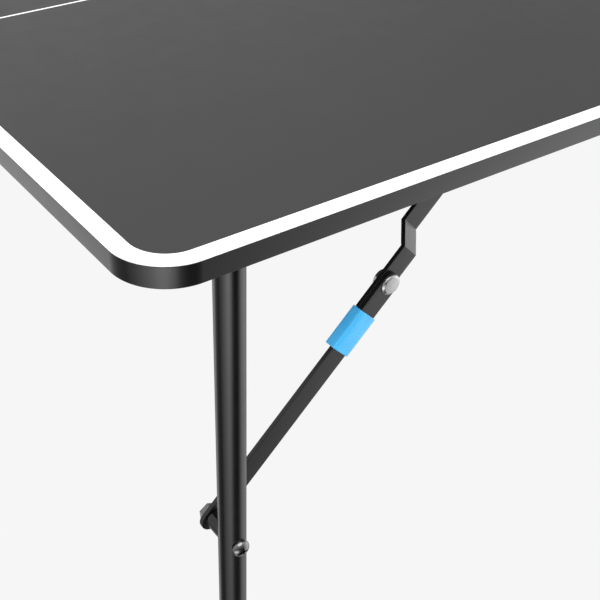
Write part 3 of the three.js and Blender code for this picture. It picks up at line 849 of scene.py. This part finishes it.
def build_hinge(side, y_sign):
    y = y_sign * HINGE_Y
    base_thick, near, far, half, corner = 3 * MM, 4 * MM, 64 * MM, 22 * MM, 4 * MM
    root, ear = 40 * MM, 9 * MM
    low, top = UNDERSIDE - base_thick, UNDERSIDE - base_thick / 2
    tongue_half, ear_inner, ear_outer = 4 * MM, 4.6 * MM, 8.6 * MM
    # Name, side of the joint, body, the angles round its ear, and the ears across it.
    leaves = (
        ("clevis", -1, "half_a", (250, 395), ((-ear_outer, -ear_inner), (ear_inner, ear_outer))),
        ("tongue", 1, "half_b", (290, 145), ((-tongue_half, tongue_half),)),
    )
    for name, sign, body, (start, end), spans in leaves:
        outline = [(sign * near, top), (sign * root, top)] + arc((0, HINGE_Z), ear, start, end, 24)
        hole = pin_hole((0, HINGE_Z))
        meshes = [side_plate(outline, inside, outside, [hole]) for inside, outside in spans]
        base = flat_plate(rounded_box((far - near) / 2, half, corner), low, UNDERSIDE)
        base.transform(Matrix.Translation((sign * (near + far) / 2, 0, 0)))
        leaf = joined(meshes + [base])
        leaf.transform(Matrix.Translation((0, y, 0)))
        piece(f"{name}_leaf_{side}", leaf, "hinge_steel", body, f"hinge_{name}_{side}")
        across = (-15 * MM, 15 * MM)
        places = [(sign * x, y + dy, low) for x in (14 * MM, 52 * MM) for dy in across]
        piece(f"{name}_screws_{side}", screws(places), "zinc_steel", body)

    tip = ear_outer + 3 * MM
    pin = headed_pin(-tip, tip, -ear_outer, ear_outer, face=4.6 * MM, bevel=1.4 * MM)
    stand(pin, (0, 1, 0), (0, y, HINGE_Z))
    piece(f"hinge_rivet_{side}", pin, "zinc_steel", "half_a", f"hinge_pin_{side}")


# ---- The net set ---------------------------------------------------------------------------


def strand(bm, start, end, radius):
    """A square thread between two points."""
    along = (end - start).normalized()
    side = Vector((1, 0, 0))
    up = along.cross(side)
    rings = []
    for point in (start, end):
        corners = ((1, 0), (0, 1), (-1, 0), (0, -1))
        rings.append([bm.verts.new(point + (side * a + up * b) * radius) for a, b in corners])
    first, last = rings
    for k in range(4):
        bm.faces.new((first[k], first[(k + 1) % 4], last[(k + 1) % 4], last[k]))
    bm.faces.new(first[::-1])
    bm.faces.new(last)


def build_net():
    low, high = (Vector(corner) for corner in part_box("net"))
    width, height = high.y - low.y, high.z - low.z
    columns, rows, radius = 84, 10, 0.6 * MM
    tuck = 3 * MM  # the threads run up into the tape
    beside = 0.5 * MM  # the level threads lie against the upright ones
    bm = bmesh.new()
    for i in range(columns + 1):
        y = low.y + radius + (width - 2 * radius) * i / columns
        strand(bm, Vector((0, y, low.z)), Vector((0, y, high.z + tuck)), radius)
    for i in range(rows + 1):
        z = low.z + radius + (height - 2 * radius) * i / rows
        strand(bm, Vector((beside, low.y, z)), Vector((beside, high.y, z)), radius)
    net = piece("net_mesh", mesh_from(bm, "net"), "net_mesh", "half_a", "net", smooth=False)

    low, high = (Vector(corner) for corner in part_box("net_tape"))
    cloth, bend = 0.5 * MM, (high.x - low.x) / 2
    outer, inner = (
        [(-radius, low.z)] + arc((0, high.z - bend), radius, 180, 0, 10) + [(radius, low.z)]
        for radius in (bend, bend - cloth)
    )
    tape = side_plate(outer + inner[::-1], low.y, high.y, edge=0.1 * MM)
    tape = piece("net_top_tape", tape, "net_tape_white", "half_a", "net_tape")


def build_net_post(side, y_sign):
    low, high = (Vector(corner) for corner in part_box(f"net_post_{side}"))
    gap, jaw, reach, drop = 0.4 * MM, 3 * MM, 36 * MM, 30 * MM
    back, web = HALF_WIDTH - reach, HALF_WIDTH + gap
    over, bottom = SURFACE + gap, UNDERSIDE - drop
    section = [
        (back, over), (web, over), (web, bottom), (back, bottom), (back, bottom - jaw),
        (web + jaw, bottom - jaw), (web + jaw, over + jaw), (back, over + jaw),
    ]
    soft_edge = 0.8 * MM
    inner_end = -2 * MM  # on half a's side of the joint
    clamp = end_plate(section, low.x, inner_end, edge=soft_edge)
    arm_low, arm_high = SURFACE - 12 * MM, SURFACE - 4 * MM
    root, socket = web + 1 * MM, POST_RADIUS
    arm = [(low.x, root), (socket, root), (socket, NET_REACH), (-socket, NET_REACH)]
    arm += [(-14 * MM, NET_REACH - 14 * MM), (low.x, web + 16 * MM)]
    arm = flat_plate(arm, arm_low, arm_high, edge=soft_edge)
    waist = POST_RADIUS - 1 * MM
    foot, top = arm_low - 4 * MM, high.z
    post = turned_mesh([
        (0, foot), (waist, foot), (POST_RADIUS, foot + 1 * MM), (POST_RADIUS, top - 12 * MM),
        (waist, top - 11 * MM), (waist, top - 8 * MM), (POST_RADIUS, top - 7 * MM),
        (POST_RADIUS, top - 3 * MM), (POST_RADIUS * 0.7, top - 0.8 * MM), (0, top),
    ])
    post.transform(Matrix.Translation((0, NET_REACH, 0)))
    body = joined([clamp, arm, post])
    if y_sign < 0:
        body.transform(Matrix.Diagonal((1, -1, 1, 1)))
        body.flip_normals()
    piece(f"net_clamp_{side}", body, "net_post_black", "half_a", f"net_post_{side}")

    screw_x, screw_y = (low.x + inner_end) / 2, y_sign * (HALF_WIDTH - reach / 2)
    screw_place = Matrix.Translation((screw_x, screw_y, 0))
    pad_top, screw_end = UNDERSIDE - 0.3 * MM, bottom - jaw - 16 * MM
    pad, crest, valley, turns = 9 * MM, 3 * MM, 2.5 * MM, 20
    pad_low = pad_top - 4 * MM
    profile = [(0, pad_top), (pad - 1 * MM, pad_top), (pad, pad_top - 1 * MM)]
    profile += [(pad, pad_top - 3 * MM), (crest, pad_low)]
    pitch = (pad_low - screw_end) / turns
    for i in range(turns):
        z = pad_low - pitch * i
        profile += [(crest, z - pitch * 0.25), (valley, z - pitch * 0.75)]
    profile += [(valley, screw_end), (0, screw_end)]
    screw = turned_mesh(profile, PIN_SIDES)
    screw.transform(screw_place)
    piece(f"clamp_screw_{side}", screw, "zinc_steel", "half_a")

    mean, swell, lobes, steps = 11 * MM, 1.4 * MM, 6, 72
    rim = []
    for i in range(steps):
        angle = 2 * math.pi * i / steps
        radius = mean + swell * math.cos(angle * lobes)
        rim.append((radius * math.cos(angle), radius * math.sin(angle)))
    knob = flat_plate(rim, screw_end - 9 * MM, screw_end + 3 * MM, edge=1.5 * MM)
    knob.transform(screw_place)
    piece(f"clamp_knob_{side}", knob, "net_post_black", "half_a")


# ---- The room, the light and the camera ----------------------------------------------------


def glow(name, colour):
    material = bpy.data.materials.new(name)
    material.use_nodes = True
    shader = material.node_tree.nodes["Principled BSDF"]
    shader.inputs["Base Color"].default_value = (0, 0, 0, 1)
    shader.inputs["Specular IOR Level"].default_value = 0
    shader.inputs["Emission Color"].default_value = (*colour, 1)
    shader.inputs["Emission Strength"].default_value = 1
    return material


def build_room():
    """A pale floor and backdrop that only the camera sees, so that they don't shade the table."""
    pale = (0.92, 0.92, 0.92)
    reach, shell = 40, 1
    low, top = -0.02, -0.001
    sides, steps = 96, 18
    floor = turned_mesh([(0, low), (reach, low), (reach, top), (0, top)], sides)
    inner = arc((0, 0), reach, 90, 0, steps)
    outer = arc((0, 0), reach + shell, 0, 90, steps)
    dome = turned_mesh([(0, reach)] + inner[1:] + outer[:-1] + [(0, reach + shell)], sides)
    for name, mesh in (("floor", floor), ("backdrop", dome)):
        mesh.materials.append(glow(name, pale))
        obj = new_object(name, mesh)
        for ray in ("diffuse", "glossy", "transmission", "volume_scatter", "shadow"):
            setattr(obj, f"visible_{ray}", False)


STUDIO_FRONT = 236  # the azimuth, from +X, that the panels' angles below are counted from
STUDIO_ROWS = (  # the sine of each row's elevation, then the angle and brightness of its panels
    (-0.82, (
        (-180, 0.3), (-150, 0.4), (-126, 0.8), (-117, 0.5), (-107, 0.12), (-68, 0.08),
        (-56, 0.4), (-30, 0.7), (-12, 0.8), (-3, 0.75), (8, 0.35), (20, 0.08), (54, 0.05),
        (66, 0.3), (88, 0.85), (123, 0.6), (150, 0.4), (180, 0.3),
    )),
    (-0.67, (
        (-180, 0.3), (-150, 0.5), (-126, 1.0), (-117, 0.7), (-107, 0.2), (-70, 0.1), (-58, 0.5),
        (-40, 1.05), (-25, 1.5), (-13, 1.85), (-4, 1.8), (9, 0.9), (22, 0.12), (54, 0.05),
        (60, 0.2), (67, 0.5), (80, 1.0), (90, 1.3), (123, 1.0), (150, 0.5), (180, 0.3),
    )),
    (-0.56, (
        (-180, 0.3), (-150, 0.6), (-126, 1.25), (-117, 0.95), (-107, 0.5), (-92, 0.24),
        (-77, 0.2), (-62, 0.65), (-49, 1.1), (-37, 1.7), (-25, 2.3), (-13, 3.2), (-2, 3.4),
        (10, 2.4), (24, 0.5), (36, 0.09), (52, 0.05), (59, 0.2), (66, 0.67), (72, 0.95),
        (80, 1.45), (88, 1.85), (108, 1.7), (123, 1.3), (150, 0.7), (180, 0.3),
    )),
    (-0.05, (
        (-180, 0.9), (-120, 1.0), (-60, 0.7), (-20, 0.4), (20, 0.15), (55, 0.15), (75, 1.2),
        (100, 2.2), (125, 2.3), (160, 1.1), (180, 0.9),
    )),
    (0.42, (
        (-180, 0.6), (-163, 0.95), (-148, 0.95), (-130, 0.9), (-72, 0.9), (-50, 1.1),
        (-20, 0.7), (60, 0.7), (90, 1.3), (135, 1.0), (160, 0.1), (180, 0.6),
    )),
    (0.95, (
        (-180, 1.2), (180, 1.2),
    )),
)


def studio_row(tree, share, panels):
    """The brightness of one row of panels, all round."""
    node = tree.nodes.new("ShaderNodeValToRGB")
    ramp = node.color_ramp
    ramp.interpolation = "EASE"
    for i, (angle, level) in enumerate(panels):
        spot = (angle + 180) / 360
        stop = ramp.elements[i] if i < 2 else ramp.elements.new(spot)
        stop.position = spot
        stop.color = (level, level, level, 1)
    tree.links.new(share, node.inputs["Fac"])
    return node.outputs["Color"]


def build_studio():
    """Soft panels all round, in rows one above another, as bright and dim parts of the world."""
    world = bpy.data.worlds.new("studio")
    bpy.context.scene.world = world
    world.use_nodes = True
    tree = world.node_tree
    link = tree.links.new
    place = tree.nodes.new("ShaderNodeTexCoord")
    turn = tree.nodes.new("ShaderNodeVectorRotate")
    turn.rotation_type = "Z_AXIS"
    turn.inputs["Angle"].default_value = -math.radians(STUDIO_FRONT)
    link(place.outputs["Generated"], turn.inputs["Vector"])
    split = tree.nodes.new("ShaderNodeSeparateXYZ")
    link(turn.outputs["Vector"], split.inputs["Vector"])
    azimuth = tree.nodes.new("ShaderNodeMath")
    azimuth.operation = "ARCTAN2"
    link(split.outputs["Y"], azimuth.inputs[0])
    link(split.outputs["X"], azimuth.inputs[1])
    share = tree.nodes.new("ShaderNodeMapRange")
    share.inputs["From Min"].default_value = -math.pi
    share.inputs["From Max"].default_value = math.pi
    link(azimuth.outputs["Value"], share.inputs["Value"])
    below, colour = STUDIO_ROWS[0][0], None
    for height, panels in STUDIO_ROWS:
        row = studio_row(tree, share.outputs["Result"], panels)
        if colour is None:
            colour = row
            continue
        rise = tree.nodes.new("ShaderNodeMapRange")
        rise.interpolation_type = "SMOOTHSTEP"
        rise.inputs["From Min"].default_value = below
        rise.inputs["From Max"].default_value = height
        link(split.outputs["Z"], rise.inputs["Value"])
        mix = tree.nodes.new("ShaderNodeMix")
        mix.data_type = "RGBA"
        link(rise.outputs["Result"], mix.inputs["Factor"])
        link(colour, mix.inputs["A"])
        link(row, mix.inputs["B"])
        below, colour = height, mix.outputs["Result"]
    link(colour, tree.nodes["Background"].inputs["Color"])


def build_lights():
    """One broad soft lamp over the near side of end a, tilted towards the middle of the table."""
    light = bpy.data.lights.new("overhead", "AREA")
    light.shape = "DISK"
    light.size = 2.6
    light.energy = 45
    lamp = new_object("overhead", light)
    aim = Vector((0.2, 0.5, -1))
    lamp.location = (-0.8, -1.4, 2.7)
    lamp.rotation_euler = aim.to_track_quat("-Z", "Y").to_euler()


CAMERA_FROM_CORNER = Vector((-0.2496, -0.4887, 0.3707))
CAMERA_HEADING = math.radians(55.98)  # from +X towards +Y
CAMERA_PITCH = math.radians(35.49)  # down from level


def build_camera():
    """The camera looks down on the near corner of end a, from outside it."""
    corner = Vector((-HALF_LENGTH, -HALF_WIDTH, SURFACE))
    camera = bpy.data.cameras.new("camera")
    camera.sensor_width = 36
    camera.lens = 61.99
    camera.shift_x = 0.0893
    camera.shift_y = 0.0072
    obj = new_object("camera", camera)
    obj.location = corner + CAMERA_FROM_CORNER
    obj.rotation_euler = (math.pi / 2 - CAMERA_PITCH, 0, CAMERA_HEADING - math.pi / 2)
    bpy.context.scene.camera = obj


# ---- Build it ------------------------------------------------------------------------------

bpy.context.scene.view_settings.view_transform = "Standard"
build_camera()
build_room()
build_studio()
build_lights()
build_top()
for end, x_sign in ENDS:
    build_pivot_tube(end, x_sign)
    for side, y_sign in SIDES:
        build_leg(end, side, x_sign, y_sign)
        build_bolt(end, side, x_sign, y_sign)
        build_brace(end, side, x_sign, y_sign)
        build_brackets(end, side, x_sign, y_sign)
for side, y_sign in SIDES:
    build_hinge(side, y_sign)
    build_net_post(side, y_sign)
build_net()
